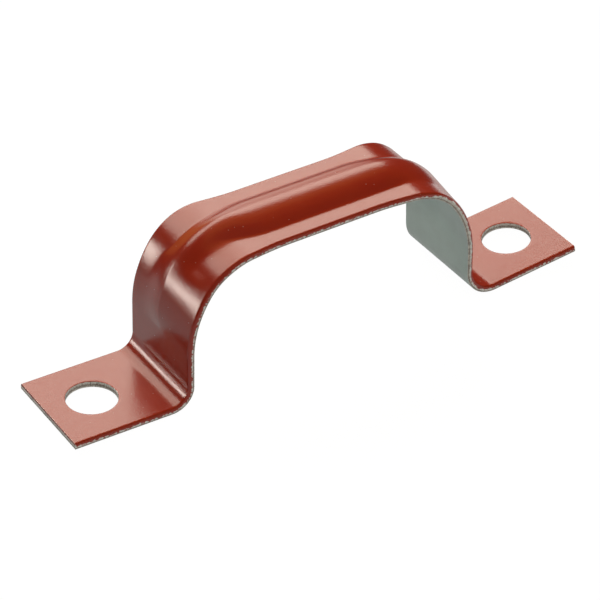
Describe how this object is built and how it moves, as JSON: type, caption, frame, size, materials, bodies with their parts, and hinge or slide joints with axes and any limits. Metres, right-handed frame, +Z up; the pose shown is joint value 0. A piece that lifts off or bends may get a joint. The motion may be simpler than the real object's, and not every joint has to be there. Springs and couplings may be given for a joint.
{
  "type": "conduit strap",
  "caption": "Pressed steel strap with a flat-topped ribbed bridge between two drilled feet, for holding conduits or cables against a surface.",
  "frame": {"origin": "midway between the two foot ends, on the plane that the heels stand on", "axes": "+X along the strap towards the foot that springs up more, +Y across the strip, +Z up through the bridge"},
  "size_m": [0.08, 0.015, 0.0222],
  "materials": {
    "topcoat": "gloss red-brown coat on the upper side, satin grey-green coat on the underside, bare cut edges"
  },
  "bodies": {
    "root": {"strap": "topcoat"}
  },
  "joints": []
}
